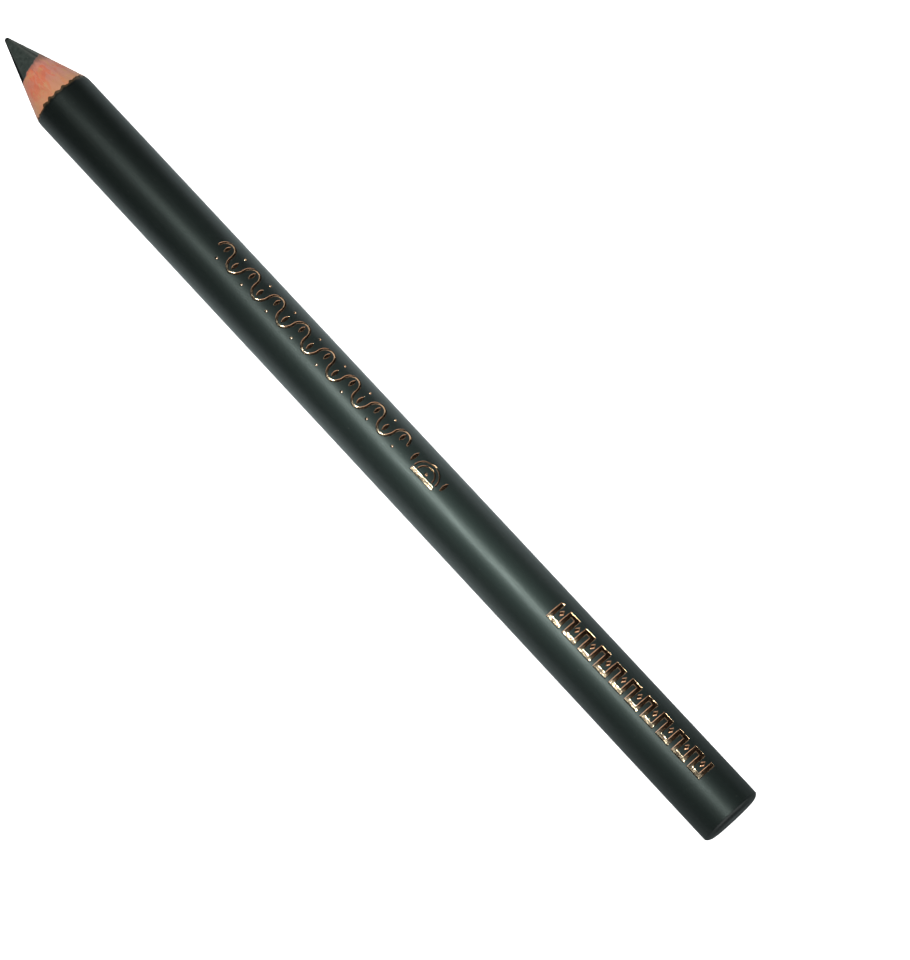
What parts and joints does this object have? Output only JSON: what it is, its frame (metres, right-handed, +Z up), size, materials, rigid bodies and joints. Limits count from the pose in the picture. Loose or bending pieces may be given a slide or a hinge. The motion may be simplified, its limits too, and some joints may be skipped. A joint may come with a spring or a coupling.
{
  "type": "wood-cased kohl pencil",
  "caption": "Sharpened round wood-cased cosmetic pencil with a soft pigment core, a dark lacquered barrel, foil-stamped ornament and a dipped end.",
  "frame": {"origin": "centre of the flat end face of the dipped end, on the pencil's axis", "axes": "+X along the pencil from the dipped end to the point; +Z up with the pencil lying on its side, the stamped ornament near the top on the -Y side"},
  "size_m": [0.1246, 0.0078, 0.0078],
  "materials": {
    "pigment": "waxy grey-green pigment stick, matte",
    "casing_wood": "freshly sharpened, unfinished",
    "glue": "dried wood glue",
    "primer": "brown undercoat, matte",
    "lacquer": "satin near-black lacquer with a slight green tint",
    "copper_foil": "hot-stamped copper foil, bright"
  },
  "bodies": {
    "root": {"pigment_core": "pigment", "left_slat": "casing_wood", "right_slat": "casing_wood", "glue_film": "glue", "primer_coat": "primer", "lacquer_coat": "lacquer", "end_dip": "lacquer", "foil_front_band": "copper_foil", "foil_emblem": "copper_foil", "foil_rear_band": "copper_foil"}
  },
  "joints": []
}
